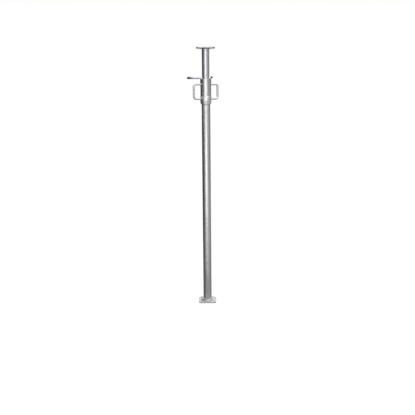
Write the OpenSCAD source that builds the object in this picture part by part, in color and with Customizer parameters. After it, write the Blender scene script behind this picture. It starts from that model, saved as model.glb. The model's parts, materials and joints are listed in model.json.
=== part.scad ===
// Adjustable steel prop with a covered thread, closed to its shortest length.
//
// An outer tube stands on a square base plate. An inner tube with a head plate slides in it.
// A hairpin locking pin goes through one of the inner tube's cross holes and lies on a bearing
// ring. The ring sits on a sleeve whose nut runs on the thread at the top of the outer tube, so
// turning the sleeve by its two handles lifts ring, pin, inner tube and load together.
//
// Millimetres. +Z is up along the tubes, the origin is in the middle of the base plate's
// underside, and the pin is pulled out towards -X.

/* [Tubes] */
// Outside diameter of the outer tube
outer_d = 57; // [56:0.5:64]
// Wall of the outer tube
outer_wall = 2.6; // [2:0.1:3]
// Length of the outer tube, from the base plate to its mouth
outer_length = 1505; // [900:5:2400]
// Outside diameter of the inner tube
inner_d = 48.3; // [44:0.1:49]
// Wall of the inner tube
inner_wall = 2.3; // [1.8:0.1:3.2]
// Height of the inner tube's foot over the base plate when the prop is closed
foot_clearance = 18; // [5:1:80]
// Height of the head plate's underside over the first pin hole
head_drop = 184; // [60:2:300]

/* [Pin holes] */
// Distance from one pin hole to the next
hole_pitch = 100; // [80:1:130]
// Length of inner tube that is left undrilled at its foot, so that it never leaves the outer tube
foot_reserve = 400; // [300:10:600]
// Gap round the pin in its hole
hole_play = 0.5; // [0.4:0.1:1.5]

/* [End plates] */
// Side of the square end plates
plate_w = 120; // [112:1:160]
// Thickness of the end plates
plate_t = 6; // [4:0.5:10]
// Length that is cropped off each corner, along the sides
plate_crop = 15; // [5:1:20]
// Distance between the fixing holes, along each side
bolt_pitch = 84; // [76:1:90]
// Diameter of the fixing holes
bolt_hole_d = 13; // [9:0.5:14]
// Diameter of the drain hole in the middle of each plate
drain_hole_d = 20; // [10:1:30]
// Leg of the weld that joins a tube to its plate
plate_weld_leg = 5; // [3:0.5:7]

/* [Lifting sleeve] */
// Wall of the sleeve tube
sleeve_wall = 3.2; // [2.6:0.1:4.5]
// Room for the thread between the outer tube and the sleeve tube
thread_room = 3.3; // [2.4:0.1:6]
// Length of the sleeve tube
sleeve_length = 89.8; // [70:0.2:140]
// Height of the threaded nut under the sleeve tube
nut_h = 46; // [40:1:70]
// How far the nut's land stands out from the sleeve tube
nut_land_out = 1.4; // [1:0.1:4]
// Height of the nut's cylindrical land
nut_land_h = 23; // [18:1:30]
// How much the nut narrows from its land to its lower edge, on the radius
nut_taper = 1.8; // [0.5:0.1:2.5]
// Height of the spigot on the nut that centres the sleeve tube
nut_spigot_h = 6; // [3:0.5:12]
// Width of the chamfers at the nut's edges
nut_chamfer = 1; // [0.3:0.1:1.5]
// Height of the weld between the nut and the sleeve tube
nut_weld_h = 4; // [2:0.5:6]

/* [Bearing ring] */
// Height of the ring that shows over the sleeve tube
ring_h = 24; // [20:1:40]
// Thickness of the lip that carries the pin
ring_lip_t = 11.8; // [6:0.1:16]
// How far the ring stands out from the sleeve tube
ring_out = 1; // [0:0.1:3]
// Depth of the ring's spigot in the sleeve tube
ring_spigot_h = 12; // [6:1:30]
// Chamfer on the ring's upper outer edge
ring_chamfer = 1.5; // [0.5:0.1:2]

/* [Handles] */
// Diameter of the handle rod
handle_rod_d = 14; // [10:0.5:16]
// Reach of a handle from the axis to its outer face
handle_reach = 92; // [82:1:130]
// Radius of the rod's centre line in the handle's corners
handle_bend_r = 14; // [12:0.5:18]
// Angle of the handles round the axis, the -X one towards -Y
handle_turn = 25; // [0:1:60]
// Bare height of the sleeve tube over the upper leg of a handle
handle_edge = 3; // [3:0.2:12]
// Width of the weld round a handle leg
handle_weld_w = 2.5; // [1.5:0.1:2.8]

/* [Locking pin] */
// Diameter of the pin
pin_d = 14; // [10:0.5:16]
// Reach of the pin's bow from the axis to its outer face
pin_reach = 123; // [90:1:170]
// Length of the pin's tip past the inner tube
pin_tip_out = 10; // [4:0.5:25]
// Gap between the inner tube and the leg that goes round behind it
pin_leg_gap = 2.35; // [1:0.05:6]
// Angle by which the free end turns up
pin_hook_angle = 15; // [10:1:40]
// Radius of the rod's centre line where the free end turns up
pin_hook_r = 16; // [12:0.5:30]
// Length of the straight end after that bend
pin_hook_length = 18; // [6:0.5:25]
// How much the turned-up end narrows towards its tip, on the radius
pin_nose_taper = 0.6; // [0:0.1:2]
// Chamfer on both ends of the pin
pin_chamfer = 2; // [0.5:0.1:4]

/* [Guides and stops] */
// Height of the guide bush in the outer tube's mouth
bush_h = 20; // [10:1:40]
// Gap between the inner tube and the bush
bush_gap = 0.5; // [0.3:0.1:0.8]
// Gap between the inner tube and the lip of the bearing ring
lip_gap = 0.6; // [0.3:0.1:1.5]
// Height of the guide ring at the inner tube's foot
guide_h = 30; // [15:1:60]
// Height of the stop collar under the guide ring
collar_h = 6; // [3:0.5:12]

/* [Clearances] */
// Gap between two faces that rest on each other, on pieces that move
seat_gap = 0.2; // [0.1:0.05:0.5]
// Gap between the lip of the bearing ring and the outer tube's mouth when the sleeve is down
stop_gap = 0.3; // [0.2:0.1:2]
// Radial gap of a running fit
running_gap = 0.08; // [0.03:0.01:0.1]
// Radial gap of a ring that slides in a tube
sliding_gap = 0.3; // [0.2:0.05:0.5]
// Radial gap between the bearing ring's skirt and the outer tube
skirt_gap = 0.7; // [0.4:0.1:1]

/* [Hidden] */
$fn = 96;
// Overrun of a cutting shape past the face that it opens
overrun = 1;
// Bulge of a fillet weld's face, as a share of its leg (0.5 is flat)
weld_bulge = 0.6;
// Blunt edge of the weld round a handle leg
weld_toe = 0.4;
// Depth to which a handle leg and its weld are started inside the sleeve before they are coped
cope_depth = 3;
// Depth to which the pin's turned-up end is started inside its bend, and its step in radius there
nose_sink = 0.5;
nose_step = 0.1;

// Radii
outer_r = outer_d / 2;
outer_bore_r = outer_r - outer_wall;
inner_r = inner_d / 2;
inner_bore_r = inner_r - inner_wall;
sleeve_bore_r = outer_r + thread_room;
sleeve_r = sleeve_bore_r + sleeve_wall;
nut_r = sleeve_r + nut_land_out;
ring_r = sleeve_r + ring_out;
skirt_bore_r = outer_r + skirt_gap;
handle_rod_r = handle_rod_d / 2;
pin_r = pin_d / 2;
hole_r = pin_r + hole_play;

// Heights, from the floor up
outer_top = plate_t + outer_length;
lip_z = outer_top + stop_gap;
ring_top = lip_z + ring_lip_t;
ring_bottom = ring_top - ring_h;
sleeve_top = ring_bottom - seat_gap;
sleeve_bottom = sleeve_top - sleeve_length;
nut_bottom = sleeve_bottom - nut_h;
nut_land_top = sleeve_bottom - nut_chamfer;
nut_land_bottom = nut_land_top - nut_land_h;
pin_z = ring_top + seat_gap + pin_r;
top_hole_z = pin_z - hole_play + seat_gap;
head_z = top_hole_z + head_drop;
foot_z = plate_t + foot_clearance;
collar_top = foot_z + collar_h;
guide_z = collar_top + seat_gap;
hole_count = 1 + floor((top_hole_z - foot_z - foot_reserve) / hole_pitch);

// Handle legs: the upper one on the sleeve tube, the lower one on the nut's land
handle_upper_z = sleeve_top - handle_edge - handle_rod_r;
handle_lower_z = nut_land_bottom + nut_land_h / 2;
handle_bar_u = handle_reach - handle_rod_r;

// Pin: the bow turns about pin_bow_x, half way between the straight leg and the one behind
pin_back_y = inner_r + pin_leg_gap + pin_r;
pin_bow_r = pin_back_y / 2;
pin_bow_x = pin_bow_r + pin_r - pin_reach;
pin_tip_x = inner_r + pin_tip_out;

// A ring or tube between two radii, from one height up to another
module ring(r_out, r_in, low, high) {
    translate([0, 0, low])
        difference() {
            cylinder(h = high - low, r = r_out);
            translate([0, 0, -overrun])
                cylinder(h = high - low + 2 * overrun, r = r_in);
        }
}

// A straight rod along +X that starts at x
module rod(r, x, length) {
    translate([x, 0, 0])
        rotate([0, 90, 0])
            cylinder(h = length, r = r);
}

// A rod bent in the XY plane round the origin, from +X towards +Y
module bend(r, bend_r, angle) {
    rotate_extrude(angle = angle)
        translate([bend_r, 0])
            circle(r = r);
}

// The chamfered tip of the pin's straight leg, along +X from x
module pin_tip(x) {
    translate([x, 0, 0])
        rotate([0, 90, 0])
            cylinder(h = pin_chamfer, r1 = pin_r, r2 = pin_r - pin_chamfer);
}

// The pin's free end, drawn down to a blunt nose, along +X from the end of its bend
module pin_nose() {
    foot_r = pin_r - nose_step;
    neck_r = foot_r - pin_nose_taper;
    rotate([0, 90, 0])
        rotate_extrude()
            polygon([
                [0, -nose_sink],
                [foot_r, -nose_sink],
                [neck_r, pin_hook_length - pin_chamfer],
                [neck_r - pin_chamfer, pin_hook_length],
                [0, pin_hook_length]
            ]);
}

// The fillet weld round a tube of radius r on a plate's face at z = 0
module plate_weld(r) {
    rotate_extrude()
        polygon([
            [r, 0],
            [r + plate_weld_leg, 0],
            [r + weld_bulge * plate_weld_leg, weld_bulge * plate_weld_leg],
            [r, plate_weld_leg]
        ]);
}

// A square plate with cropped corners, a drain hole and four fixing holes
module end_plate() {
    half = plate_w / 2;
    flat = half - plate_crop;
    difference() {
        linear_extrude(plate_t)
            polygon([
                [half, -flat], [half, flat], [flat, half], [-flat, half],
                [-half, flat], [-half, -flat], [-flat, -half], [flat, -half]
            ]);
        translate([0, 0, -overrun])
            cylinder(h = plate_t + 2 * overrun, d = drain_hole_d);
        for (x = [-1, 1], y = [-1, 1])
            translate([x * bolt_pitch / 2, y * bolt_pitch / 2, -overrun])
                cylinder(h = plate_t + 2 * overrun, d = bolt_hole_d);
    }
}

module base_plate() {
    color("lightgray") end_plate();
}

module base_weld() {
    color("gray")
        translate([0, 0, plate_t]) plate_weld(outer_r);
}

// The thread at the mouth is drawn at its crest, as a plain tube
module outer_tube() {
    color("silver") ring(outer_r, outer_bore_r, plate_t, outer_top);
}

// Pressed into the mouth: it guides the inner tube and stops the guide ring
module mouth_bush() {
    color("darkgray")
        ring(outer_bore_r, inner_r + bush_gap, outer_top - bush_h, outer_top);
}

// Drilled right through along X, once for each height of the prop
module inner_tube() {
    color("gainsboro")
        difference() {
            ring(inner_r, inner_bore_r, foot_z, head_z);
            for (i = [0 : hole_count - 1])
                translate([0, 0, top_hole_z - i * hole_pitch])
                    rod(hole_r, -inner_r - overrun, inner_d + 2 * overrun);
        }
}

module head_plate() {
    color("lightgray")
        translate([0, 0, head_z]) end_plate();
}

module head_weld() {
    color("gray")
        translate([0, 0, head_z]) mirror([0, 0, 1]) plate_weld(inner_r);
}

// Welded to the inner tube's foot, under the loose guide ring
module stop_collar() {
    color("darkgray")
        ring(outer_bore_r - bush_gap, inner_r, foot_z, collar_top);
}

// Loose round the inner tube, it centres the foot in the outer tube
module guide_ring() {
    color("dimgray")
        ring(outer_bore_r - sliding_gap, inner_r + running_gap, guide_z, guide_z + guide_h);
}

// The lip carries the pin and stops on the outer tube's mouth, the skirt clears the thread,
// and the spigot centres the ring in the sleeve tube
module bearing_ring() {
    spigot_r = sleeve_bore_r - running_gap;
    spigot_bottom = ring_bottom - ring_spigot_h;
    color("gainsboro")
        rotate_extrude()
            polygon([
                [inner_r + lip_gap, lip_z],
                [skirt_bore_r, lip_z],
                [skirt_bore_r, spigot_bottom],
                [spigot_r, spigot_bottom],
                [spigot_r, ring_bottom],
                [ring_r, ring_bottom],
                [ring_r, ring_top - ring_chamfer],
                [ring_r - ring_chamfer, ring_top],
                [inner_r + lip_gap, ring_top]
            ]);
}

module sleeve_tube() {
    color("silver") ring(sleeve_r, sleeve_bore_r, sleeve_bottom, sleeve_top);
}

// The nut's outer form between two radii: a taper, a cylindrical land and two chamfers
module nut_form(bore_r) {
    low_r = nut_r - nut_taper;
    rotate_extrude()
        polygon([
            [bore_r, nut_bottom],
            [low_r - nut_chamfer, nut_bottom],
            [low_r, nut_bottom + nut_chamfer],
            [nut_r, nut_land_bottom],
            [nut_r, nut_land_top],
            [nut_r - nut_chamfer / 2, sleeve_bottom],
            [bore_r, sleeve_bottom]
        ]);
}

// Its thread is drawn at the crest of the outer tube's, with a running fit
module threaded_nut() {
    bore_r = outer_r + running_gap;
    color("silver")
        difference() {
            union() {
                nut_form(bore_r);
                ring(sleeve_bore_r - running_gap, bore_r, sleeve_bottom, sleeve_bottom + nut_spigot_h);
            }
            for (m = [0, 1])
                translate([0, 0, m ? sleeve_bottom + nut_spigot_h : nut_bottom])
                    mirror([0, 0, m])
                        translate([0, 0, -overrun])
                            cylinder(h = 2 * overrun, r1 = bore_r + 2 * overrun, r2 = bore_r);
        }
}

module nut_weld() {
    toe_r = nut_r - nut_chamfer / 2;
    color("gray")
        rotate_extrude()
            polygon([
                [sleeve_r, sleeve_bottom],
                [toe_r, sleeve_bottom],
                [sleeve_r + weld_bulge * (toe_r - sleeve_r), sleeve_bottom + weld_bulge * nut_weld_h],
                [sleeve_r, sleeve_bottom + nut_weld_h]
            ]);
}

// The solid sleeve, to which handle legs and their welds are coped
module sleeve_core() {
    nut_form(0);
    translate([0, 0, sleeve_bottom])
        cylinder(h = sleeve_top - sleeve_bottom + cope_depth, r = sleeve_r);
}

// A handle along +X: a rod bent to a D, with both legs coped to the sleeve
module handle() {
    corner_u = handle_bar_u - handle_bend_r;
    leg_u = sleeve_r - cope_depth;
    bar_low = handle_lower_z + handle_bend_r;
    bar_high = handle_upper_z - handle_bend_r;
    difference() {
        union() {
            for (z = [handle_lower_z, handle_upper_z])
                translate([0, 0, z]) rod(handle_rod_r, leg_u, corner_u - leg_u);
            translate([handle_bar_u, 0, bar_low])
                cylinder(h = bar_high - bar_low, r = handle_rod_r);
            translate([corner_u, 0, bar_high])
                rotate([90, 0, 0]) bend(handle_rod_r, handle_bend_r, 90);
            translate([corner_u, 0, bar_low])
                rotate([90, 90, 0]) mirror([1, 0, 0]) rotate([0, 0, 90]) bend(handle_rod_r, handle_bend_r, 90);
        }
        sleeve_core();
    }
}

// The weld round a handle leg at height z, on a surface of radius r
module handle_weld(z, r) {
    foot_r = handle_rod_r + handle_weld_w + cope_depth;
    start = r - cope_depth;
    length = cope_depth + handle_weld_w;
    difference() {
        translate([start, 0, z])
            rotate([0, 90, 0])
                cylinder(h = length, r1 = foot_r, r2 = handle_rod_r + weld_toe);
        translate([0, 0, z]) rod(handle_rod_r, start - overrun, length + 2 * overrun);
        sleeve_core();
    }
}

// What is on the -X side, turned from the +X side
module left_side() {
    rotate([0, 0, 180 + handle_turn]) children();
}

module right_side() {
    rotate([0, 0, handle_turn]) children();
}

module handle_left() {
    color("whitesmoke") left_side() handle();
}

module handle_left_upper_weld() {
    color("gray") left_side() handle_weld(handle_upper_z, sleeve_r);
}

module handle_left_lower_weld() {
    color("gray") left_side() handle_weld(handle_lower_z, nut_r);
}

module handle_right() {
    color("whitesmoke") right_side() handle();
}

module handle_right_upper_weld() {
    color("gray") right_side() handle_weld(handle_upper_z, sleeve_r);
}

module handle_right_lower_weld() {
    color("gray") right_side() handle_weld(handle_lower_z, nut_r);
}

// A hairpin: a straight leg through the inner tube, a bow at the -X end, and a leg that comes
// back behind the tube on the bearing ring and turns up at its free end
module locking_pin() {
    color("lightgray")
        translate([0, 0, pin_z]) {
            rod(pin_r, pin_bow_x, pin_tip_x - pin_chamfer - pin_bow_x);
            pin_tip(pin_tip_x - pin_chamfer);
            translate([pin_bow_x, pin_bow_r, 0])
                rotate([0, 0, 90]) bend(pin_r, pin_bow_r, 180);
            translate([0, pin_back_y, 0]) {
                rod(pin_r, pin_bow_x, inner_r - pin_bow_x);
                translate([inner_r, 0, pin_hook_r]) {
                    rotate([90, 0, 0]) rotate([0, 0, -90]) bend(pin_r, pin_hook_r, pin_hook_angle);
                    rotate([0, -pin_hook_angle, 0])
                        translate([0, 0, -pin_hook_r]) pin_nose();
                }
            }
        }
}

base_plate();
base_weld();
outer_tube();
mouth_bush();
inner_tube();
head_plate();
head_weld();
stop_collar();
guide_ring();
bearing_ring();
sleeve_tube();
threaded_nut();
nut_weld();
handle_left();
handle_left_upper_weld();
handle_left_lower_weld();
handle_right();
handle_right_upper_weld();
handle_right_lower_weld();
locking_pin();
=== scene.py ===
# %% [markdown]
# # An adjustable steel prop, dressed in zinc
#
# The prop is two steel tubes, one inside the other, with a square plate at each end. A pin through
# the inner tube lies on a ring, the ring lies on a sleeve, and the sleeve is a long nut on the
# thread at the top of the outer tube. All of it is dipped or plated in zinc, so the whole lesson is
# about one family of metal seen at different ages: bright where it was drawn or turned, dull and
# cloudy where it was dipped, rippled where it was welded.
#
# The solids come from the construction model at their real size, in metres. Blender adds what that
# model leaves plain: the screw thread, the beads of the welds, the soft edges of the plates, and
# the finish of every surface. No number below moves a solid, and every new piece takes its size and
# place from the solid that it stands for.

# %% Load the solids
import json
import math

import bpy
from mathutils import Matrix, Vector

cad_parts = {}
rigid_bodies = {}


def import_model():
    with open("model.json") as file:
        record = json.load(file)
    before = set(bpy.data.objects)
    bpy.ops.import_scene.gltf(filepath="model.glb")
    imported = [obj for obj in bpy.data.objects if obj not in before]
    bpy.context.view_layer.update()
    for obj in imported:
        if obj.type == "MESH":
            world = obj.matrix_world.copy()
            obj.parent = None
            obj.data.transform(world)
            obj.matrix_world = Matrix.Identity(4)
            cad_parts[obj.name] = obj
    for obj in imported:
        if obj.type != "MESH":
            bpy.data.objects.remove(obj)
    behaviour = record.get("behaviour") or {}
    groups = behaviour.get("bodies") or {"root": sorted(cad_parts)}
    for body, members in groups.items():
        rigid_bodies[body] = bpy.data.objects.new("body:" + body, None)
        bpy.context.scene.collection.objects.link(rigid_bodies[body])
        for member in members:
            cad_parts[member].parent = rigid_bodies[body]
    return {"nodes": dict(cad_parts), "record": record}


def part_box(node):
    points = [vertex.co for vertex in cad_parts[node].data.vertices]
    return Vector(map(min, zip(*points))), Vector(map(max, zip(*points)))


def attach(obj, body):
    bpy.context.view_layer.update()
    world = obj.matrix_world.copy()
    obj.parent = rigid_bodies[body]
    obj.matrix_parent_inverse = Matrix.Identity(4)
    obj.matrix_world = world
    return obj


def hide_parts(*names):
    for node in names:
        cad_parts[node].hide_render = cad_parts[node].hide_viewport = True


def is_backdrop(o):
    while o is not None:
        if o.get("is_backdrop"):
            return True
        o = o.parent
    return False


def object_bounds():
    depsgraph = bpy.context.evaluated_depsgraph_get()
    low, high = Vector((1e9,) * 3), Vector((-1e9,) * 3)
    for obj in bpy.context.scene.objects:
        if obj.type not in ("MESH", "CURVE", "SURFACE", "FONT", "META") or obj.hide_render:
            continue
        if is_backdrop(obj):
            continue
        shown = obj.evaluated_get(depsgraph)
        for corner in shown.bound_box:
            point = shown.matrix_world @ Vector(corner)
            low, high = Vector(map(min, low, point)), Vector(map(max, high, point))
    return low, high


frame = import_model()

MM = 0.001

nodes = frame["nodes"]
cad_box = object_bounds()
print("solids:", len(nodes), "height:", round(cad_box[1].z, 4), "m")

# %% [markdown]
# ## The camera
#
# The prop is tall and thin, so the camera stands nearly four metres away with a slightly long lens.
# It is at about head height and looks twelve degrees down: the head plate is then seen edge on and
# the base plate from above. A Track To constraint could aim it. Two plain rotations do it here,
# because the second also rolls the camera half a degree, and the prop leans by as much.
#
# The Standard view shows white as white. The other views would turn a white studio grey.

# %% Camera
EYE = Vector((0.0046, -3.715, 1.461))
LOOK_DOWN = math.radians(12.036)
ROLL = math.radians(0.486)
LENS = 48.34
SENSOR = 36

camera = bpy.data.objects.new("camera", bpy.data.cameras.new("camera"))
bpy.context.scene.collection.objects.link(camera)
camera.data.lens = LENS
camera.data.sensor_width = SENSOR
camera.location = EYE
aim = Matrix.Rotation(math.radians(90) - LOOK_DOWN, 4, "X") @ Matrix.Rotation(-ROLL, 4, "Z")
camera.rotation_euler = aim.to_euler()
bpy.context.scene.camera = camera
bpy.context.scene.view_settings.view_transform = "Standard"
print("camera:", round(EYE.length, 2), "m from the foot, turned down", round(math.degrees(LOOK_DOWN), 1))

# %% [markdown]
# ## A short way to write nodes
#
# Nodes can be laid out by hand in the Shader Editor, or written. Written out in full each takes
# three or four lines, so a small class shortens them. Most of its methods add one node and return
# the socket that comes out of it, and a finish further down then reads like a sum. The class is
# built in three steps, and the first one only adds nodes and links them.

# %% Nodes and links


class Wiring:
    """Adds nodes to one node tree."""

    def __init__(self, tree):
        self.tree = tree

    def feed(self, socket, value):
        """Links the socket to another node's output, or sets it to a plain value."""
        if isinstance(value, bpy.types.NodeSocket):
            self.tree.links.new(value, socket)
        else:
            socket.default_value = value

    def node(self, kind, **settings):
        """Adds a node. Each setting is one of its own properties or the name of an input."""
        node = self.tree.nodes.new(kind)
        for name, value in settings.items():
            if hasattr(node, name):
                setattr(node, name, value)
            else:
                self.feed(node.inputs[name.replace("_", " ")], value)
        return node

    def group(self, shared, **amounts):
        """Places a shared node group with its own amounts, and returns its outputs."""
        return self.node("ShaderNodeGroup", node_tree=shared, **amounts).outputs


print("wiring can", ", ".join(name for name in vars(Wiring) if not name.startswith("_")))

# %% [markdown]
# The second step is arithmetic. The one to know is span. It is the Map Range node, and it turns any
# measure, such as a height or a noise, into a mask that runs smoothly from one value to another.

# %% Sums and masks


class Sums(Wiring):
    """Arithmetic on sockets and numbers."""

    def math(self, operation, a, b=0.0, clamp=False):
        node = self.node("ShaderNodeMath", operation=operation, use_clamp=clamp)
        self.feed(node.inputs[0], a)
        self.feed(node.inputs[1], b)
        return node.outputs[0]

    def add(self, *values):
        total = values[0]
        for value in values[1:]:
            total = self.math("ADD", total, value)
        return total

    def less(self, a, b):
        return self.math("SUBTRACT", a, b)

    def times(self, a, b):
        return self.math("MULTIPLY", a, b)

    def reach(self, a, b):
        """How far a point is from the origin when it lies a one way and b the other."""
        return self.math("SQRT", self.add(self.times(a, a), self.times(b, b)))

    def vector(self, operation, a, b):
        """Vector arithmetic. For SCALE, b is a number."""
        node = self.node("ShaderNodeVectorMath", operation=operation)
        self.feed(node.inputs[0], a)
        self.feed(node.inputs["Scale" if operation == "SCALE" else 1], b)
        return node.outputs["Vector"]

    def span(self, value, low, high, at_low=0.0, at_high=1.0):
        """Runs smoothly from at_low to at_high while value runs from low to high."""
        ends = {"From_Min": low, "From_Max": high, "To_Min": at_low, "To_Max": at_high}
        node = self.node("ShaderNodeMapRange", interpolation_type="SMOOTHSTEP", Value=value, **ends)
        return node.outputs["Result"]

    def blend(self, amount, a, b):
        """Colour a where amount is 0, colour b where it is 1."""
        return self.node("ShaderNodeMix", data_type="RGBA", Factor=amount, A=a, B=b).outputs["Result"]


print("sums can", ", ".join(name for name in vars(Sums) if not name.startswith("_")))

# %% [markdown]
# The third step knows about surfaces. A pattern is placed by Object coordinates: the point on the
# piece, in metres, which stays put when the piece moves with its joint. A stretch packs the pattern
# closer along an axis, so a large number across a tube and a small one along it draw long streaks.
# In the cells that follow, g is always the graph that is being filled.

# %% Places, noise and shaders


class Graph(Sums):
    """Everything that a finish needs."""

    def place(self, stretch=(1, 1, 1)):
        point = self.node("ShaderNodeTexCoord").outputs["Object"]
        return self.node("ShaderNodeMapping", Vector=point, Scale=stretch).outputs[0]

    def parts(self):
        """The point's X, Y and Z, each by itself."""
        return self.node("ShaderNodeSeparateXYZ", Vector=self.place()).outputs

    def noise(self, place, per_metre, detail=4.0, roughness=0.55):
        settings = {"Scale": per_metre, "Detail": detail, "Roughness": roughness}
        return self.node("ShaderNodeTexNoise", Vector=place, **settings).outputs["Fac"]

    def uneven(self, per_metre, reach):
        """A noise that runs half of reach either side of nothing."""
        return self.times(self.less(self.noise(self.place(), per_metre), 0.5), reach)

    def patches(self, per_metre, low, high, thin=0.0, thick=1.0, detail=4.0, roughness=0.55):
        """A noise made into patches: thin where it is under low, thick where it is over high."""
        noise = self.noise(self.place(), per_metre, detail, roughness)
        return self.span(noise, low, high, thin, thick)

    def mix_shader(self, amount, a, b):
        node = self.node("ShaderNodeMixShader", Fac=amount)
        self.feed(node.inputs[1], a)
        self.feed(node.inputs[2], b)
        return node.outputs[0]

    def surface(self, shader, kind="ShaderNodeOutputMaterial"):
        self.node(kind, Surface=shader)


print("a graph can", ", ".join(name for name in vars(Graph) if not name.startswith("_")))

# %% [markdown]
# Two more helpers open an empty material and an empty group. A group is a set of nodes that is
# built once and used by many materials, and new_socket gives it its named inputs and outputs.

# %% New materials and groups


def new_material(name):
    material = bpy.data.materials.new(name)
    material.use_nodes = True
    material.node_tree.nodes.clear()
    return material


def new_group(name, inputs, outputs):
    group = bpy.data.node_groups.new(name, "ShaderNodeTree")
    for label, kind, value in inputs:
        socket = group.interface.new_socket(label, in_out="INPUT", socket_type=kind)
        if value is not None:
            socket.default_value = value
    for label, kind in outputs:
        group.interface.new_socket(label, in_out="OUTPUT", socket_type=kind)
    return group


FLOAT, VECTOR = "NodeSocketFloat", "NodeSocketVector"
print("materials before this lesson:", len(bpy.data.materials))

# %% [markdown]
# ## The room that the metal sees
#
# A studio for bright metal is mostly made of what the metal mirrors. A tube mirrors the room all
# round it: its middle shows what is in front, its rims show what is behind. The room could be built
# from lamps and black cards, but a tube is so narrow that every card draws a hard line. One list
# does it more softly. It says how bright the room is in each direction round the prop, in degrees
# from straight ahead, and a colour ramp joins its points with a smooth curve.
#
# - In front is a wide soft box, which draws the pale stripe down the tubes.
# - The left is dark and the right a little less so, which gives the tubes their dark flanks.
# - Straight behind is the pale backdrop, which shows as a thin light line at the very rim.

# %% How bright the room is in each direction
ROOM = [
    (-180, 0.80), (-166, 0.45), (-150, 0.10), (-115, 0.08), (-88, 0.11),
    (-56, 0.22), (-32, 0.90), (-12, 2.10), (10, 2.10), (30, 0.95),
    (60, 0.52), (95, 0.40), (145, 0.28), (166, 0.45), (180, 0.80),
]
ROOM_PEAK = 3.0

room_level = new_group("room_level", [("Way", VECTOR, None)], [("Level", FLOAT)])
g = Graph(room_level)
way = g.node("ShaderNodeSeparateXYZ", Vector=g.node("NodeGroupInput").outputs["Way"]).outputs
bearing = g.math("ARCTAN2", way["X"], g.times(way["Y"], -1))
ramp = g.node("ShaderNodeValToRGB", Fac=g.add(g.times(bearing, 0.5 / math.pi), 0.5))
ramp.color_ramp.interpolation = "CARDINAL"
while len(ramp.color_ramp.elements) < len(ROOM):
    ramp.color_ramp.elements.new(1.0)
for stop, (degrees, brightness) in zip(ramp.color_ramp.elements, ROOM):
    stop.position = degrees / 360 + 0.5
    stop.color = (*[brightness / ROOM_PEAK] * 3, 1)
g.feed(g.node("NodeGroupOutput").inputs["Level"], g.times(ramp.outputs["Color"], ROOM_PEAK))
print("room: brightest", max(level for _, level in ROOM), "darkest", min(level for _, level in ROOM))

# %% [markdown]
# The world uses that list for every direction near the horizon and an even ceiling above it. The
# camera alone sees plain white behind the prop, and the Light Path node tells its rays apart. So
# the background is white without any extra light on the metal.

# %% World
CEILING_FROM, CEILING_FULL = 0.24, 0.50
CEILING = 1.0
ROOM_STRENGTH = 0.8

world = bpy.data.worlds.new("studio")
bpy.context.scene.world = world
world.use_nodes = True
world.node_tree.nodes.clear()
g = Graph(world.node_tree)
ray = g.node("ShaderNodeTexCoord").outputs["Generated"]
ray_rise = g.node("ShaderNodeSeparateXYZ", Vector=ray).outputs["Z"]
overhead = g.span(ray_rise, CEILING_FROM, CEILING_FULL)
walls = g.times(g.group(room_level, Way=ray)["Level"], g.less(1.0, overhead))
brightness = g.add(walls, g.times(overhead, CEILING))
studio = g.node("ShaderNodeBackground", Color=brightness, Strength=ROOM_STRENGTH)
white = g.node("ShaderNodeBackground", Color=(1, 1, 1, 1), Strength=1.0)
camera_sees = g.node("ShaderNodeLightPath").outputs["Is Camera Ray"]
g.surface(g.mix_shader(camera_sees, studio.outputs[0], white.outputs[0]), "ShaderNodeOutputWorld")
print("world:", len(world.node_tree.nodes), "nodes")

# %% [markdown]
# ## The floor
#
# The prop stands on white paper and throws a faint shadow. In the metal, though, the paper isn't
# white. The tube's lower half mirrors it, and the lower the place on the tube, the closer to the
# prop lies the paper that shows there. So the floor has two faces, one for the camera and one for
# mirrored rays.
#
# - The camera's face is part paper and part glow. Paper alone would look grey, and glow alone would
#   lose the shadow.
# - The mirrored face repeats the room, but never brighter than a limit that depends on how far the
#   paper is: dull at the foot, paler at a metre and a half, a little dimmer again past two metres,
#   and as bright as the room far off. Near the foot its light and dark sides are also evened out.

# %% Floor
FLOOR_SIZE = 60
NEAR_FLOOR = {"low": 0.75, "high": 1.5, "at_low": 0.38, "at_high": 0.74}
DIM_FLOOR = {"low": 1.9, "high": 2.9, "at_low": 0.0, "at_high": -0.24}
FAR_FLOOR = {"low": 7.0, "high": 20.0, "at_low": 0.0, "at_high": 1.5}
FLAT_FLOOR = {"low": 1.2, "high": 3.5, "at_low": 1.0, "at_high": 0.0}
FLATTENED, LIFTED = 0.45, 0.095
GLOW, GLOW_SHARE = 1.16, 0.72

bpy.ops.object.select_all(action="DESELECT")
bpy.ops.mesh.primitive_plane_add(size=FLOOR_SIZE, location=(0, 0, 0))
floor = bpy.context.object
floor.name = "floor"
floor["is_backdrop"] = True

floor_paper = new_material("floor_paper")
g = Graph(floor_paper.node_tree)
distance = g.node("ShaderNodeVectorMath", operation="LENGTH", Vector=g.place()).outputs["Value"]
brightest = g.add(*[g.span(distance, **ring) for ring in (NEAR_FLOOR, DIM_FLOOR, FAR_FLOOR)])
flat = g.span(distance, **FLAT_FLOOR)
room = g.times(g.group(room_level, Way=g.place())["Level"], g.less(1.0, g.times(flat, FLATTENED)))
mirrored_level = g.math("MINIMUM", g.add(room, g.times(flat, LIFTED)), brightest)
mirrored = g.node("ShaderNodeEmission", Color=mirrored_level)
paper = g.node("ShaderNodeBsdfDiffuse", Color=(0.8, 0.8, 0.8, 1))
glow = g.node("ShaderNodeEmission", Color=(1, 1, 1, 1), Strength=GLOW)
ray_kind = g.node("ShaderNodeLightPath").outputs
shown = g.mix_shader(g.times(ray_kind["Is Camera Ray"], GLOW_SHARE), paper.outputs[0], glow.outputs[0])
g.surface(g.mix_shader(ray_kind["Is Glossy Ray"], shown, mirrored.outputs[0]))
floor.data.materials.append(floor_paper)
print("floor:", FLOOR_SIZE, "m wide, glow", GLOW)

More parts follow.
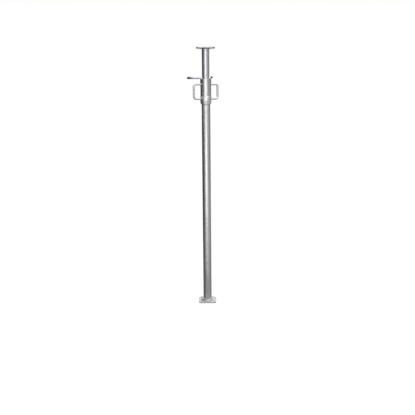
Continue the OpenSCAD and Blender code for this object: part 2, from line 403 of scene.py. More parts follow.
# %% [markdown]
# One weak soft box hangs over the prop. It lights the tops of the plates and gives the shadow on
# the floor its place. It is large, because a small lamp would leave a sharp spark on every bead.

# %% Soft box over the prop
BOX_PLACE = Vector((0.7, -1.2, 3.6))
BOX_AIM = Vector((0, 0, 0.6))
BOX_WIDTH = 1.8
BOX_WATTS = 40

lamp = bpy.data.lights.new("top_box", "AREA")
lamp.size = BOX_WIDTH
lamp.energy = BOX_WATTS
top_box = bpy.data.objects.new("top_box", lamp)
bpy.context.scene.collection.objects.link(top_box)
top_box.location = BOX_PLACE
top_box.rotation_euler = (BOX_PLACE - BOX_AIM).to_track_quat("Z", "Y").to_euler()
print("soft box:", BOX_WATTS, "W,", round((BOX_PLACE - BOX_AIM).length, 2), "m from what it lights")

# %% [markdown]
# ## Modelling by hand, in code
#
# Blender's operators act on whatever is selected, so every new piece starts by clearing the
# selection, and each change is made in edit mode on faces or edges picked by where they are. These
# four helpers stand for the Tab key and the mouse.

# %% Picking and editing


def start():
    bpy.ops.object.select_all(action="DESELECT")


def pick(piece):
    start()
    piece.select_set(True)
    bpy.context.view_layer.objects.active = piece


def edit(piece):
    pick(piece)
    bpy.ops.object.mode_set(mode="EDIT")
    bpy.ops.mesh.select_all(action="SELECT")


def leave():
    bpy.ops.object.mode_set(mode="OBJECT")


start()
print("selected now:", len(bpy.context.selected_objects))

# %% [markdown]
# A shape is never quite done when it looks done. Its doubles are merged and its faces turned
# outwards, and its place goes into the mesh, so that the object itself stays at the origin, as the
# solids do. Modifiers are applied at once, so that the pieces are plain meshes.

# %% Cleaning, modifying and copying
SAME_POINT = 0.002 * MM


def clean(piece):
    """Merges doubles, turns the faces outwards and puts the object's place into its mesh."""
    edit(piece)
    bpy.ops.mesh.remove_doubles(threshold=SAME_POINT)
    bpy.ops.mesh.normals_make_consistent(inside=False)
    leave()
    bpy.ops.object.transform_apply(location=True, rotation=True, scale=True)
    return piece


def modify(piece, kind, **settings):
    """Adds a modifier and applies it."""
    pick(piece)
    modifier = piece.modifiers.new(kind.lower(), kind)
    for name, value in settings.items():
        setattr(modifier, name, value)
    bpy.ops.object.modifier_apply(modifier=modifier.name)
    return piece


def copy_of(piece):
    """A copy with a mesh of its own, free of the joint that the first one rides on."""
    copy = piece.copy()
    copy.data = piece.data.copy()
    copy.parent = None
    copy.matrix_world = Matrix.Identity(4)
    bpy.context.scene.collection.objects.link(copy)
    return copy


print("points closer than", SAME_POINT / MM, "mm count as one")

# %% [markdown]
# Steel is cut away or fused on, and the Boolean modifier does both. The tool is thrown away after.
# A finished piece rides on the body that its solid rides on, and takes that solid's place.

# %% Cutting, fusing and finishing


def cut_away(piece, tool, operation="DIFFERENCE"):
    modify(piece, "BOOLEAN", operation=operation, solver="EXACT", object=tool)
    bpy.data.objects.remove(tool)
    return piece


def fuse(piece, tool):
    return cut_away(piece, tool, "UNION")


def finish_piece(piece, name, body, node, smooth=30):
    """Smooths all but the edges sharper than smooth degrees, and puts the piece in its solid's place."""
    piece.name = name
    pick(piece)
    bpy.ops.object.shade_smooth_by_angle(angle=math.radians(smooth))
    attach(piece, body)
    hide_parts(node)
    print(name, "faces:", len(piece.data.polygons), "in place of", node)
    return piece


print("solids still plain:", ", ".join(nodes))

# %% [markdown]
# ## The outer tube
#
# The outer tube is plain pipe, with a thread cut or rolled on its upper end. The construction model
# draws it plain all the way up, at the thread's crest. Here it steps down to the root of the thread,
# so that a ridge can be wound on it.
#
# The tube is a turned shape, and so it is made as on a lathe: a circle is extruded and resized from
# one radius and height to the next, and back to the first. Spin would do as well, but this way each
# step of the profile is one line in a list. The bore isn't written down anywhere, so it is measured
# on the corners of the solid.

# %% Turn the outer tube


def corners(node):
    return [vertex.co for vertex in nodes[node].data.vertices]


def radii(node):
    """How far each corner of a round solid is from the prop's axis."""
    return [math.hypot(point.x, point.y) for point in corners(node)]


def turned(profile, segments=128):
    """Extrudes and resizes a circle along a closed profile of (radius, height)."""
    start()
    radius, height = profile[0]
    bpy.ops.mesh.primitive_circle_add(vertices=segments, radius=radius, location=(0, 0, height))
    piece = bpy.context.object
    edit(piece)
    for next_radius, next_height in profile[1:] + profile[:1]:
        bpy.ops.mesh.extrude_region_move(TRANSFORM_OT_translate={"value": (0, 0, next_height - height)})
        share = next_radius / radius
        bpy.ops.transform.resize(value=(share, share, 1), center_override=(0, 0, next_height))
        radius, height = next_radius, next_height
    leave()
    return clean(piece)


THREAD_DEPTH = 1.25 * MM
THREAD_BELOW_NUT = 4 * MM
RUN_OUT = 3 * MM
MOUTH_CHAMFER = 0.8 * MM

tube_low, tube_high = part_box("outer_tube")
nut_low, nut_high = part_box("threaded_nut")
outer_r, bore_r = tube_high.x, min(radii("outer_tube"))
root_r = outer_r - THREAD_DEPTH
thread_low, thread_high = nut_low.z - THREAD_BELOW_NUT, tube_high.z

outer = turned([
    (bore_r, tube_low.z),
    (outer_r, tube_low.z),
    (outer_r, thread_low - RUN_OUT),
    (root_r, thread_low),
    (root_r, thread_high - MOUTH_CHAMFER),
    (root_r - MOUTH_CHAMFER, thread_high),
    (bore_r, thread_high),
])
print("outer tube:", round(2 * outer_r / MM, 1), "mm wide, wall", round((outer_r - bore_r) / MM, 2), "mm")

# %% [markdown]
# ## The thread
#
# The sleeve's nut climbs this thread. The pitch isn't a free choice: one turn of the sleeve lifts
# it by one pitch, and the joint already says how far it lifts for each radian that it turns.
#
# A thread can be a texture, but then its edge stays straight against the light. Here it is real. A
# circle of four points is drawn into the ridge's cross-section, wide at its foot and narrow at its
# crest. The Screw modifier winds it up the tube, and its two open ends are closed with a face each.
# Its foot is sunk a little below the root, so that the union has something to bite on.

# %% Wind the ridge
FOOT_SUNK = 0.5 * MM
CREST_BELOW_TUBE = 0.08 * MM
FOOT_HALF, CREST_HALF = 0.40, 0.17
STEPS_PER_TURN = 72

lift_per_radian = frame["record"]["behaviour"]["couplings"][0]["ratio"]
pitch = lift_per_radian * 2 * math.pi
foot_r, crest_r = root_r - FOOT_SUNK, outer_r - CREST_BELOW_TUBE


def wound_ridge(low, high):
    start()
    bpy.ops.mesh.primitive_circle_add(vertices=4, radius=1, rotation=(math.radians(90), 0, 0))
    ridge = bpy.context.object
    bpy.ops.object.transform_apply(location=False, rotation=True, scale=False)
    section = [(foot_r, FOOT_HALF), (crest_r, CREST_HALF), (crest_r, -CREST_HALF), (foot_r, -FOOT_HALF)]
    for vertex, (radius, share) in zip(ridge.data.vertices, section):
        vertex.co = (radius, 0, low + share * pitch)
    turns = math.ceil((high - low) / pitch) + 1
    modify(ridge, "SCREW", axis="Z", angle=2 * math.pi, screw_offset=pitch, iterations=turns,
           steps=STEPS_PER_TURN, render_steps=STEPS_PER_TURN, use_smooth_shade=False)
    edit(ridge)
    bpy.ops.mesh.select_all(action="DESELECT")
    bpy.ops.mesh.select_mode(type="EDGE")
    bpy.ops.mesh.select_non_manifold()
    bpy.ops.mesh.edge_face_add()
    leave()
    return clean(ridge)


ridge = wound_ridge(thread_low - pitch / 2, thread_high)
print("pitch:", round(pitch / MM, 3), "mm, ridge faces:", len(ridge.data.polygons))

# %% [markdown]
# The ridge is fused to the tube, so that both are one solid. It runs on a little past the mouth of
# the tube, and whatever stands above the mouth is cut off flush, as a lathe would face it.

# %% Fuse the ridge and face the mouth
start()
above_mouth = {"radius": 2 * outer_r, "depth": 4 * pitch, "location": (0, 0, thread_high + 2 * pitch)}
bpy.ops.mesh.primitive_cylinder_add(vertices=64, **above_mouth)
facing = clean(bpy.context.object)
clean(cut_away(fuse(outer, ridge), facing))
finish_piece(outer, "threaded_outer_tube", "outer_post", "outer_tube")

# %% [markdown]
# ## The end plates
#
# A plate is sheared from steel strip. Its corners are cropped straight, and its holes are drilled
# or punched: four for bolts or nails and one in the middle, which lets the zinc run out of the tube.
#
# It starts as a block. The four upright edges are picked by their direction and bevelled in one
# step, which crops the corners. The holes are cut, and then a narrow Bevel modifier breaks every
# edge that is still sharp, since a zinc coat is never sharp. Without it the plate would have no
# bright edge line at all. The sizes come from the solid and from its bolt mount.

# %% Drill
HOLE_SEGMENTS = 72

bolts = {mount["name"]: mount["dims"] for mount in frame["record"]["mounts"]}["base_bolts"]
plate_low, plate_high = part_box("base_plate")
plate_half, plate_t = plate_high.x, plate_high.z - plate_low.z
side_ends = [point.x for point in corners("base_plate") if point.y > plate_half - 0.1 * MM]
crop = plate_half - max(side_ends)
drain_r = min(radii("base_plate"))
bolt_r, bolt_half = bolts["hole_r_mm"] * MM, bolts["spacing_x_mm"] * MM / 2


def drill(x, y, radius):
    start()
    bpy.ops.mesh.primitive_cylinder_add(
        vertices=HOLE_SEGMENTS, radius=radius, depth=4 * plate_t, location=(x, y, 0))
    return clean(bpy.context.object)


print("plate:", round(2 * plate_half / MM), "mm square, corners cropped", round(crop / MM, 1), "mm")

# %% [markdown]
# The base plate is pressed once, and the head plate is a copy of it, lifted to the top. Flat faces
# next to round holes shade in fans unless their normals follow the large faces, and the Weighted
# Normal modifier sees to that.

# %% Press the base plate and copy it to the head
EDGE_BREAK = 0.6 * MM


def crop_corners(plate):
    edit(plate)
    bpy.ops.mesh.select_all(action="DESELECT")
    leave()
    for edge in plate.data.edges:
        one, other = (plate.data.vertices[i].co for i in edge.vertices)
        edge.select = abs(one.z - other.z) > plate_t / 2
    bpy.ops.object.mode_set(mode="EDIT")
    bpy.ops.mesh.select_mode(type="EDGE")
    bpy.ops.mesh.bevel(offset=crop, segments=1)
    leave()


def pressed_plate():
    start()
    size = (2 * plate_half, 2 * plate_half, plate_t)
    bpy.ops.mesh.primitive_cube_add(size=1, location=(0, 0, plate_t / 2), scale=size)
    plate = clean(bpy.context.object)
    crop_corners(plate)
    cut_away(plate, drill(0, 0, drain_r))
    for x in (-bolt_half, bolt_half):
        for y in (-bolt_half, bolt_half):
            cut_away(plate, drill(x, y, bolt_r))
    modify(plate, "BEVEL", width=EDGE_BREAK, segments=3, limit_method="ANGLE", angle_limit=math.radians(40))
    return clean(plate)


head_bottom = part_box("head_plate")[0].z
base_plate = pressed_plate()
head_plate = copy_of(base_plate)
head_plate.location.z = head_bottom
clean(head_plate)
finish_piece(base_plate, "pressed_base_plate", "outer_post", "base_plate")
finish_piece(head_plate, "pressed_head_plate", "inner_post", "head_plate")
for plate in (base_plate, head_plate):
    modify(plate, "WEIGHTED_NORMAL", weight=100, keep_sharp=True)

# %% [markdown]
# ## The seams of the welds
#
# A welder lays a bead in small overlapping scales, like coins that have fallen over. To repeat one
# scale along a seam, the seam is written as a function. Given a share of the way round, it returns
# a place, the direction of the run and the direction in which the weld faces.
#
# Two kinds of seam are enough. One runs round the prop's own axis, at a foot or an edge. The other
# runs round the end of a handle's leg, and since the wall there is round, it dips at both sides
# like a saddle.

# %% Two kinds of seam
LEG_SWELL = 0.4 * MM
SADDLE_DIP = 0.35
NEARBY = 0.01


def round_seam(radius, height, up):
    """A seam round the prop's axis. It faces outwards and upwards (up 1) or downwards (up -1)."""

    def at(share):
        turn = 2 * math.pi * share
        out = Vector((math.cos(turn), math.sin(turn), 0))
        run = Vector((-math.sin(turn), math.cos(turn), 0))
        return out * radius + Vector((0, 0, height)), run, (out + Vector((0, 0, up))).normalized()

    return at


def saddle_seam(leg_way, height, wall_r, leg_r):
    """A seam round a leg that comes out of a round wall along leg_way."""
    side = Vector((-leg_way.y, leg_way.x, 0))

    def spot(share):
        turn = 2 * math.pi * share
        seam_r = leg_r + LEG_SWELL * math.sin(turn) ** 2
        across, rise = seam_r * math.sin(turn), seam_r * math.cos(turn)
        drop = wall_r - math.sqrt(wall_r ** 2 - across ** 2)
        return leg_way * (wall_r - SADDLE_DIP * drop) + side * across + Vector((0, 0, height + rise))

    def at(share):
        turn = 2 * math.pi * share
        run = (spot(share + NEARBY) - spot(share - NEARBY)).normalized()
        off_leg = side * math.sin(turn) + Vector((0, 0, math.cos(turn)))
        return spot(share), run, (off_leg + leg_way).normalized()

    return at


def seam_length(seam, samples=360):
    spots = [seam(step / samples)[0] for step in range(samples + 1)]
    return sum((after - before).length for before, after in zip(spots, spots[1:]))


print("a seam round the outer tube is", round(seam_length(round_seam(outer_r, 0, 1)) / MM), "mm long")

# %% [markdown]
# ## The weld beads
#
# One scale is a small ball, squashed along the run and leaned over. It has few faces, because it is
# repeated a hundred times round a seam. The scales are joined to a copy of the weld's plain solid,
# which fills the corner under them. A voxel remesh then melts everything into one closed skin, and
# a light smoothing takes away the last of the steps. A bump texture would be quicker, but a bead
# stands out against the light, and its outline should ripple.

# %% Lay a bead
SCALE_SEGMENTS, SCALE_RINGS = 12, 6
SQUASH = (0.8, 0.5, 1.0)
SCALE_LEAN = math.radians(28)


def one_scale(size):
    """One scale of weld: it runs along Y and faces X."""
    start()
    bpy.ops.mesh.primitive_uv_sphere_add(segments=SCALE_SEGMENTS, ring_count=SCALE_RINGS, radius=size)
    scale = bpy.context.object
    edit(scale)
    bpy.ops.transform.resize(value=SQUASH, center_override=(0, 0, 0))
    bpy.ops.transform.rotate(value=SCALE_LEAN, orient_axis="Z", center_override=(0, 0, 0))
    leave()
    return clean(scale)


def lay_bead(node, seam, size, spacing, fineness):
    """Scales of one size along a seam, melted into the weld's solid."""
    scale = one_scale(size)
    count = round(seam_length(seam) / spacing)
    laid = []
    for number in range(count):
        place, run, out = seam(number / count)
        facing = Matrix((out, run, out.cross(run))).transposed().to_4x4()
        laid.append(copy_of(scale))
        laid[-1].matrix_world = Matrix.Translation(place) @ facing
    bead = clean(copy_of(nodes[node]))
    pick(bead)
    for scale_copy in laid:
        scale_copy.select_set(True)
    bpy.ops.object.join()
    bpy.data.objects.remove(scale)
    modify(bead, "REMESH", mode="VOXEL", voxel_size=fineness, adaptivity=0)
    modify(bead, "SMOOTH", factor=0.5, iterations=2)
    print(node, "scales:", count)
    return clean(bead)


def hand_over_bead(bead, node, body):
    return finish_piece(bead, node + "_bead", body, node, 60)


print("a scale is squashed to", SQUASH[1], "and leans", round(math.degrees(SCALE_LEAN)), "degrees")

# %% [markdown]
# The heaviest beads hold the two plates. They fill the corner between tube and plate, so they stand
# out from the tube and face half up (at the foot) or half down (at the head).

# %% The two plate welds
PLATE_SCALE = 3.3 * MM
PLATE_SPACING = 3.04 * MM
PLATE_FINENESS = 0.5 * MM
INTO_CORNER = 1.7 * MM

inner_low, inner_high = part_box("inner_tube")
inner_r = inner_high.x
foot_seam = round_seam(outer_r + INTO_CORNER, plate_high.z + INTO_CORNER, up=1)
head_seam = round_seam(inner_r + INTO_CORNER, head_bottom - INTO_CORNER, up=-1)
for node, body, seam in (("base_weld", "outer_post", foot_seam), ("head_weld", "inner_post", head_seam)):
    hand_over_bead(lay_bead(node, seam, PLATE_SCALE, PLATE_SPACING, PLATE_FINENESS), node, body)

# %% [markdown]
# A finer bead joins the sleeve tube to its nut. It lies in the step between the two and hardly
# stands out from the sleeve, because hands turn the sleeve and a proud bead would catch them.

# %% The nut's weld
NUT_SCALE = 2.0 * MM
NUT_SPACING = 2.18 * MM
NUT_FINENESS = 0.4 * MM
INTO_SLEEVE, ABOVE_NUT = 0.3 * MM, 1.4 * MM

sleeve_low, sleeve_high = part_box("sleeve_tube")
sleeve_r = sleeve_high.x
nut_seam = round_seam(sleeve_r - INTO_SLEEVE, sleeve_low.z + ABOVE_NUT, up=0.4)
hand_over_bead(lay_bead("nut_weld", nut_seam, NUT_SCALE, NUT_SPACING, NUT_FINENESS), "nut_weld", "sleeve")

# %% [markdown]
# Each handle is welded on at both ends of its bar, the upper end to the sleeve and the lower end to
# the nut, which is wider. The two handles stand opposite each other, so only the left one's beads
# are laid. The right one's are copies, turned half round the prop.

# %% The handle welds
LEG_SCALE = 2.1 * MM
LEG_SPACING = 2.2 * MM
LEG_FINENESS = 0.35 * MM
OFF_WALL, OFF_LEG = 0.6 * MM, 0.8 * MM

weld_low, weld_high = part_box("handle_left_upper_weld")
rod_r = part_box("handle_left")[1].z - (weld_low.z + weld_high.z) / 2


def handle_bead(node, wall_r):
    low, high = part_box(node)
    middle = (low + high) / 2
    leg_way = Vector((middle.x, middle.y, 0)).normalized()
    seam = saddle_seam(leg_way, middle.z, wall_r + OFF_WALL, rod_r + OFF_LEG)
    return lay_bead(node, seam, LEG_SCALE, LEG_SPACING, LEG_FINENESS)


for end, wall_r in (("upper", sleeve_r), ("lower", nut_high.x)):
    left_node, right_node = f"handle_left_{end}_weld", f"handle_right_{end}_weld"
    left_bead = handle_bead(left_node, wall_r)
    right_bead = copy_of(left_bead)
    right_bead.rotation_euler.z = math.pi
    clean(right_bead)
    hand_over_bead(left_bead, left_node, "sleeve")
    hand_over_bead(right_bead, right_node, "sleeve")
print("handle bar:", round(2 * rod_r / MM, 1), "mm round")

# %% [markdown]
# ## The zinc skin
#
# A zinc coat has three sizes of pattern. From far away it is cloudy, with paler and duller fields.
# Closer by it shows spangle, the flat crystals that freeze out of the bath. And along a tube run
# long faint lines, from drawing the steel and from lifting it out of the bath.
#
# Every zinc-coated piece shares this group, and only the amounts differ. Spangle could be a picture,
# but Voronoi cells do it at any size: each cell is one crystal with a value of its own. A wobble on
# the place that they are read from keeps their borders from being ruled lines.

# %% The patterns of zinc
WOBBLES_PER_M, WOBBLE = 220, 0.0035
CRYSTALS_PER_M, CRYSTAL_STRETCH = 115, (1, 1, 0.6)
CLOUDS_PER_M, CLOUD_STRETCH = 16, (1, 1, 0.45)
STREAK_STRETCH = (90, 90, 1.6)
GRAIN_PER_M = 900

zinc_skin = new_group(
    "zinc_skin",
    [("Spangle", FLOAT, 0.3), ("Cloud", FLOAT, 0.3), ("Streak", FLOAT, 0.3)],
    [("Shade", FLOAT), ("Dull", FLOAT), ("Height", FLOAT), ("Normal", VECTOR)],
)
g = Graph(zinc_skin)
wobble = g.node("ShaderNodeTexNoise", Vector=g.place(), Scale=WOBBLES_PER_M, Detail=2.0).outputs["Color"]
crystal_place = g.vector("ADD", g.place(CRYSTAL_STRETCH), g.vector("SCALE", wobble, WOBBLE))
crystal = g.node("ShaderNodeTexVoronoi", Vector=crystal_place, Scale=CRYSTALS_PER_M).outputs["Color"]
cloud = g.less(g.noise(g.place(CLOUD_STRETCH), CLOUDS_PER_M, detail=6, roughness=0.6), 0.5)
streak = g.less(g.noise(g.place(STREAK_STRETCH), 1, detail=5, roughness=0.6), 0.5)
grain = g.less(g.noise(g.place(), GRAIN_PER_M, detail=3, roughness=0.6), 0.5)
print("crystals about", round(1000 / CRYSTALS_PER_M), "mm, clouds about", round(1000 / CLOUDS_PER_M), "mm")

# %% [markdown]
# The group puts out four things. Shade makes the colour lighter or darker, and Dull does the same
# for the roughness. Height is for a Bump node. Normal is the most telling one: each crystal lies at
# its own slight slant and throws the light its own way, which no flat colour can do.

# %% What the zinc skin puts out
FACET_SLANT = 0.4
STREAK_DEPTH, GRAIN_DEPTH = 0.5, 0.35

amount = g.node("NodeGroupInput").outputs
result = g.node("NodeGroupOutput").inputs
facet = g.node("ShaderNodeSeparateColor", Color=crystal).outputs
light_facet = g.times(g.less(facet[0], 0.5), amount["Spangle"])
dull_facet = g.times(g.less(facet[1], 0.5), amount["Spangle"])
clouded = g.times(cloud, amount["Cloud"])
g.feed(result["Shade"], g.add(light_facet, clouded, g.times(streak, amount["Streak"])))
g.feed(result["Dull"], g.add(dull_facet, clouded))
g.feed(result["Height"], g.add(g.times(streak, STREAK_DEPTH), g.times(grain, GRAIN_DEPTH)))

centred = g.vector("SUBTRACT", crystal, (0.5, 0.5, 0.5))
slant = g.vector("SCALE", centred, g.times(amount["Spangle"], FACET_SLANT))
slanted = g.vector("ADD", g.node("ShaderNodeNewGeometry").outputs["Normal"], slant)
g.feed(result["Normal"], g.node("ShaderNodeVectorMath", operation="NORMALIZE", Vector=slanted).outputs[0])
print("group zinc_skin:", len(zinc_skin.nodes), "nodes")

# %% [markdown]
# ## Scratches
#
# A prop is dragged, stacked and knocked about, so a second group draws scratches. The cracks between
# the cells of a stretched Voronoi pattern are straight thin lines. Noise breaks them into short
# strokes, so that only a few of them show. Each material stretches them along its own direction of
# wear: along a tube, but round a sleeve.

# %% The scratches group
SCRATCH_WIDTH = 0.02
BREAKS_PER_M = 45

scratches = new_group(
    "scratches",
    [("Stretch", VECTOR, None), ("Turn", VECTOR, None), ("Amount", FLOAT, 0.5)],
    [("Mark", FLOAT)],
)
g = Graph(scratches)
amount = g.node("NodeGroupInput").outputs
point = g.node("ShaderNodeTexCoord").outputs["Object"]
laid_out = g.node("ShaderNodeMapping", Vector=point, Scale=amount["Stretch"], Rotation=amount["Turn"])
cracks = g.node("ShaderNodeTexVoronoi", feature="DISTANCE_TO_EDGE", Vector=laid_out.outputs[0], Scale=1.0)
line = g.span(cracks.outputs["Distance"], 0.0, SCRATCH_WIDTH, 1.0, 0.0)
breaks = g.patches(BREAKS_PER_M, low=0.50, high=0.62, roughness=0.7)
g.feed(g.node("NodeGroupOutput").inputs["Mark"], g.times(g.times(line, breaks), amount["Amount"]))
print("group scratches:", len(scratches.nodes), "nodes")

# %% [markdown]
# ## How a zinc material is built
#
# A material then needs only its own amounts: its colour and roughness, how much spangle, cloud and
# streak it shows, and how it is scratched. A worn place, or a place of painted shade, may be handed
# in too, as a mask, a colour and a roughness. Where the mask is 1 the zinc takes that colour and
# roughness. The shader stays in the material, and the groups only move its colour, its roughness and
# its normal.

# %% How a zinc material is built
DARKEST, LIGHTEST = 0.55, 1.22
PLAIN_SHADE = (1 - DARKEST) / (LIGHTEST - DARKEST)
BARE_METAL = (0.86, 0.86, 0.87, 1)
SCRATCH_TURN = (0.12, 0.07, 0.3)
RELIEF, RELIEF_DEPTH = 0.12, 0.6 * MM


def zinc_tint(g, colour, shade, mark):
    """The colour of the zinc, darker and lighter with its skin and bare along its scratches."""
    dark = [DARKEST * part for part in colour]
    light = [min(1.0, LIGHTEST * part) for part in colour]
    tint = g.blend(g.math("ADD", shade, PLAIN_SHADE, clamp=True), (*dark, 1), (*light, 1))
    return g.blend(mark, tint, BARE_METAL)


def zinc(name, colour, rough, spangle, cloud, streak=0.0, scratch=(60, 60, 4), marks=0.5, metal=1.0,
         wear_and_shade=None):
    """A zinc material. The last argument is a mask's function, a colour and a roughness: worn zinc and
    painted shade are both laid on this way.
    """
    material = new_material(name)
    g = Graph(material.node_tree)
    skin = g.group(zinc_skin, Spangle=spangle, Cloud=cloud, Streak=streak)
    mark = g.group(scratches, Stretch=scratch, Turn=SCRATCH_TURN, Amount=marks)["Mark"]
    tint = zinc_tint(g, colour, skin["Shade"], mark)
    dull = g.math("ADD", g.times(skin["Dull"], 0.5), rough, clamp=True)
    # Worn zinc and painted shade are both laid on here, by one mask.
    if wear_and_shade:
        wear_shade_mask, wear_shade_colour, wear_shade_rough = wear_and_shade
        mask = wear_shade_mask(g)
        tint = g.blend(mask, tint, (*wear_shade_colour, 1))
        dull = g.add(dull, g.times(g.less(wear_shade_rough, dull), mask))
    relief = g.node("ShaderNodeBump", Strength=RELIEF, Distance=RELIEF_DEPTH,
                    Height=g.less(skin["Height"], mark), Normal=skin["Normal"])
    shader = g.node("ShaderNodeBsdfPrincipled", Metallic=metal, Base_Color=tint, Roughness=dull,
                    Normal=relief.outputs["Normal"])
    g.surface(shader.outputs[0])
    return material


def dress(material, *names):
    """Gives one material to the pieces with these names."""
    for name in names:
        piece = bpy.data.objects[name]
        piece.data.materials.clear()
        piece.data.materials.append(material)
    print(material.name, "on", ", ".join(names))


print("plain zinc lies", round(PLAIN_SHADE, 2), "of the way from its darkest to its lightest")

# %% [markdown]
# ## The outer tube's zinc
#
# The outer tube is the longest piece and the one that is dragged over the ground. Its zinc is bright
# and smooth, with streaks down its whole length and hardly any spangle, because a thin tube wall
# cools fast and its crystals stay small. Its scratches run along it.
#
# The root of the thread is painted dark, as painted shade in the groove, while the crests stay
# bright. How far a point lies from the axis tells root from crest, and the same painted shade
# darkens the bore as well.

# %% Dress the outer tube
root_shade_full_r, root_shade_end_r = root_r + 0.1 * MM, root_r + 0.8 * MM


# Painted shade: the thread's root and the bore are darkened.
def painted_root_shade(g):
    point = g.parts()
    deep = g.span(g.reach(point["X"], point["Y"]), root_shade_full_r, root_shade_end_r, 1.0, 0.0)
    return g.times(deep, g.patches(per_metre=160, low=0.30, high=0.60, thin=0.45, thick=0.95))


outer_tube_zinc = zinc(
    "outer_tube_zinc", colour=(0.67, 0.67, 0.69), rough=0.27, spangle=0.12, cloud=0.22, streak=0.55,
    scratch=(70, 70, 5), wear_and_shade=(painted_root_shade, (0.17, 0.16, 0.15), 0.55))
dress(outer_tube_zinc, "threaded_outer_tube")

# %% [markdown]
# ## The inner tube's zinc
#
# The inner tube slides out of the outer one, so its scratches are long and fine. Round each pin hole
# the zinc is rubbed bright, where the pin is pushed in and out. That halo is a distance to the
# nearest hole. The Ping Pong node folds the height at every hole, so one small sum serves all of
# them. Above the top hole nothing is folded, because there is no hole there.

# %% Dress the inner tube
HALO_FROM, HALO_TO = 0.5 * MM, 5 * MM


def pin_holes():
    """The heights of the pin holes: corners that lie close together are one hole's rim."""
    heights = sorted(point.z for point in corners("inner_tube"))
    rims = [height for height in heights if inner_low.z + MM < height < inner_high.z - MM]
    holes = [[rims[0]]]
    for height in rims[1:]:
        if height - holes[-1][-1] > 2 * rod_r:
            holes.append([])
        holes[-1].append(height)
    return [(hole[0] + hole[-1]) / 2 for hole in holes]


holes = pin_holes()
hole_pitch = (holes[-1] - holes[0]) / (len(holes) - 1)


def rubbed_holes(g):
    point = g.parts()
    rise = g.less(point["Z"], holes[-1])
    from_hole = g.math("MAXIMUM", g.math("PINGPONG", rise, hole_pitch / 2), rise)
    halo = g.span(g.reach(from_hole, point["Y"]), rod_r + HALO_FROM, rod_r + HALO_TO, 1.0, 0.0)
    return g.times(halo, g.patches(per_metre=300, low=0.35, high=0.60))


inner_tube_zinc = zinc(
    "inner_tube_zinc", colour=(0.68, 0.68, 0.71), rough=0.31, spangle=0.08, cloud=0.20, streak=0.40,
    scratch=(90, 90, 2), marks=0.7, wear_and_shade=(rubbed_holes, (0.80, 0.79, 0.78), 0.16))
dress(inner_tube_zinc, "inner_tube")
print("pin holes:", len(holes), "at", round(hole_pitch / MM), "mm")

# %% [markdown]
# ## The sleeve, its nut and its ring
#
# The sleeve and its nut are turned by hand and knocked round with a hammer, so their scratches run
# round them. The nut is a casting, and its skin is paler and a little rougher than a drawn tube's.
# The ring on top carries the load: the pin lies on it, and the two rub as the sleeve is screwed up.
# So its top is polished bright, and a height mask finds it.

# %% Dress the sleeve, the nut and the ring
ring_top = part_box("bearing_ring")[1].z
polish_from, polish_full = ring_top - 1.0 * MM, ring_top - 0.2 * MM


def polished_top(g):
    top = g.span(g.parts()["Z"], polish_from, polish_full)
    return g.times(top, g.patches(per_metre=45, low=0.25, high=0.55, thin=0.4, detail=3))


sleeve_tube_zinc = zinc(
    "sleeve_tube_zinc", colour=(0.68, 0.68, 0.69), rough=0.28, spangle=0.12, cloud=0.25, streak=0.25,
    scratch=(45, 45, 70))
cast_nut_zinc = zinc(
    "cast_nut_zinc", colour=(0.86, 0.86, 0.87), rough=0.31, spangle=0.05, cloud=0.30,
    scratch=(45, 45, 70), marks=0.25)
ring_zinc = zinc(
    "ring_zinc", colour=(0.68, 0.68, 0.69), rough=0.28, spangle=0.10, cloud=0.25, streak=0.10,
    scratch=(40, 40, 90), marks=0.6, wear_and_shade=(polished_top, (0.82, 0.81, 0.80), 0.14))
dress(sleeve_tube_zinc, "sleeve_tube")
dress(cast_nut_zinc, "threaded_nut")
dress(ring_zinc, "bearing_ring")

# %% [markdown]
# ## The plates
#
# The plates are cut from thick strip that cools slowly, so their zinc is pale, dull and full of
# spangle. It is also the most knocked about. The zinc has gone from the sheared edges, most of all
# at the cropped corners, and round the weld the heat has burnt it to a dark rim. Three masks find
# these places: how far out the point lies along X or Y, along the diagonal, and from the middle. The
# middle of the rim is moved a little to the left and front, and there the rim is painted shade: the
# tube's dark flank, mirrored on the plate. The rim is kept to the welded face by height, because
# the outer face of a plate stays clean.

# %% Dress the plates
EDGE_FROM, EDGE_FULL, EDGE_WEAR = 1.0 * MM, 0.4 * MM, 0.55
CORNER_FROM, CORNER_FULL = 1.2 * MM, 0.4 * MM
BURNT_SHADE_FULL, BURNT_SHADE_TO, BURNT_AND_SHADE = 7 * MM, 16 * MM, 0.75
# The rim's shift to the left and front is painted shade.
RIM_SHADE_LEFT, RIM_SHADE_FRONT = 6 * MM, 9 * MM
FACE_FULL, FACE_TO = 0.5 * MM, 1.5 * MM

corner_reach = 2 * plate_half - crop


def sheared_and_shaded(g):
    """The bare cut edges, the cropped corners and the burnt rim of the weld, moved aside as painted shade.
    """
    point = g.parts()
    x, y = g.math("ABSOLUTE", point["X"]), g.math("ABSOLUTE", point["Y"])
    side = g.span(g.math("MAXIMUM", x, y), plate_half - EDGE_FROM, plate_half - EDGE_FULL, 0.0, EDGE_WEAR)
    corner = g.span(g.add(x, y), corner_reach - CORNER_FROM, corner_reach - CORNER_FULL)
    # Painted shade: the rim's middle is moved left and front, where the tube mirrors dark on the plate.
    from_middle = g.reach(g.add(point["X"], RIM_SHADE_LEFT), g.add(point["Y"], RIM_SHADE_FRONT))
    from_weld = g.add(from_middle, g.uneven(per_metre=60, reach=16 * MM), -outer_r)
    off_base = g.math("ABSOLUTE", g.less(point["Z"], plate_high.z))
    off_head = g.math("ABSOLUTE", g.less(point["Z"], head_bottom))
    welded_face = g.span(g.math("MINIMUM", off_base, off_head), FACE_FULL, FACE_TO, 1.0, 0.0)
    burnt_and_shade = g.times(welded_face, g.span(from_weld, BURNT_SHADE_FULL, BURNT_SHADE_TO, BURNT_AND_SHADE, 0.0))
    return g.math("MAXIMUM", g.math("MAXIMUM", side, corner), burnt_and_shade)


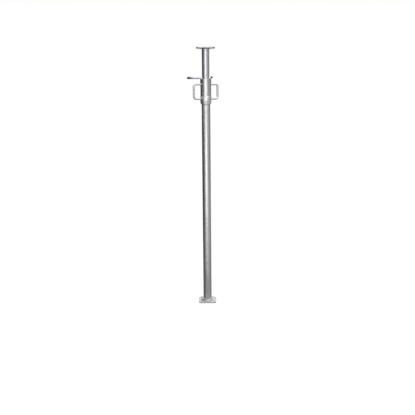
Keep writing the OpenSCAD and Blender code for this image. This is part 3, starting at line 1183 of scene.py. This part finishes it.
plate_zinc = zinc(
    "plate_zinc", colour=(0.84, 0.84, 0.84), rough=0.42, spangle=0.32, cloud=0.30, scratch=(50, 9, 50),
    marks=0.8, metal=0.6, wear_and_shade=(sheared_and_shaded, (0.16, 0.16, 0.16), 0.5))
dress(plate_zinc, "pressed_base_plate", "pressed_head_plate")

# %% [markdown]
# ## The welds
#
# A bead is rough and its scales are full of small hollows, so the zinc lies on it dark and cloudy,
# with no crystals to speak of. Pointiness could darken the hollows alone, but it changes with how
# finely a mesh is cut, and the beads aren't all cut alike. So one dark skin covers them. The foot's
# weld is the exception. The bath drains down to it, so it keeps a thick wet-looking coat.

# %% Dress the beads
bead_zinc = zinc(
    "bead_zinc", colour=(0.50, 0.50, 0.51), rough=0.50, spangle=0.06, cloud=0.40, marks=0.2)
foot_bead_zinc = zinc(
    "foot_bead_zinc", colour=(0.74, 0.74, 0.75), rough=0.24, spangle=0.06, cloud=0.40, marks=0.2)
beads = [name for name in bpy.data.objects.keys() if name.endswith("_bead")]
beads.remove("base_weld_bead")
dress(bead_zinc, *beads)
dress(foot_bead_zinc, "base_weld_bead")

# %% [markdown]
# ## The handles
#
# The handles are bent from round bar. Their coat is dull, but hands and hammers keep the outside of
# each loop burnished. The mask is the distance from the prop's axis, so both handles share it.

# %% Dress the handles
grip_r = max(radii("handle_right"))
burnish_from, burnish_full = grip_r - 6 * MM, grip_r - 1 * MM


def burnished_bar(g):
    point = g.parts()
    outside = g.span(g.reach(point["X"], point["Y"]), burnish_from, burnish_full)
    return g.times(outside, g.patches(per_metre=90, low=0.42, high=0.60, thick=0.8, detail=5))


handle_zinc = zinc(
    "handle_zinc", colour=(0.70, 0.70, 0.71), rough=0.46, spangle=0.10, cloud=0.25, streak=0.10,
    scratch=(60, 60, 30), marks=0.7, metal=0.85, wear_and_shade=(burnished_bar, (0.80, 0.80, 0.79), 0.24))
dress(handle_zinc, "handle_left", "handle_right")
print("the handles reach", round(grip_r / MM), "mm from the prop's axis")

# %% [markdown]
# ## The pin
#
# The pin's bow and its free end are painted darker than the straight legs. This is painted shade:
# both ends turn away from the light and mirror the dark side of the room. Two height masks would do
# if it stood upright. It lies along X, so its masks run along X, and a little noise makes the
# border of the painted shade uneven.

# %% Dress the pin
BOW_FROM, BOW_TO = 16 * MM, 52 * MM
FREE_END = 12 * MM
END_SHADE = 0.92

bow_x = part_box("locking_pin")[0].x


# Painted shade on the bow and the free end, which turn away from the light.
def painted_end_shade(g):
    along = g.add(g.parts()["X"], g.uneven(per_metre=90, reach=16 * MM))
    bow = g.span(along, bow_x + BOW_FROM, bow_x + BOW_TO, 1.0, 0.0)
    free_end = g.span(along, inner_r, inner_r + FREE_END)
    return g.times(g.add(bow, free_end), END_SHADE)


pin_zinc = zinc(
    "pin_zinc", colour=(0.60, 0.60, 0.62), rough=0.33, spangle=0.06, cloud=0.30, scratch=(8, 90, 90),
    marks=0.8, wear_and_shade=(painted_end_shade, (0.08, 0.08, 0.09), 0.45))
dress(pin_zinc, "locking_pin")

# %% [markdown]
# ## The steel inside
#
# The bush, the stop collar and the guide ring are turned and never dipped. They are plain steel with
# no spangle, seen only when the prop is opened, and the same function makes them with a darker
# colour.

# %% Dress the hidden pieces
inside_steel = zinc(
    "inside_steel", colour=(0.42, 0.41, 0.41), rough=0.42, spangle=0.0, cloud=0.35, streak=0.20)
dress(inside_steel, "mouth_bush", "stop_collar", "guide_ring")

# %% [markdown]
# ## Keep the sizes and finish
#
# The box round everything is measured once more. It has to be the box of the solids, since every
# new piece stands inside the one that it replaces.

# %% Keep the sizes and finish
final_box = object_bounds()
growth = [abs(now - then) for corner, first in zip(final_box, cad_box) for now, then in zip(corner, first)]
print("the box has grown by", round(max(growth) / MM, 3), "mm")
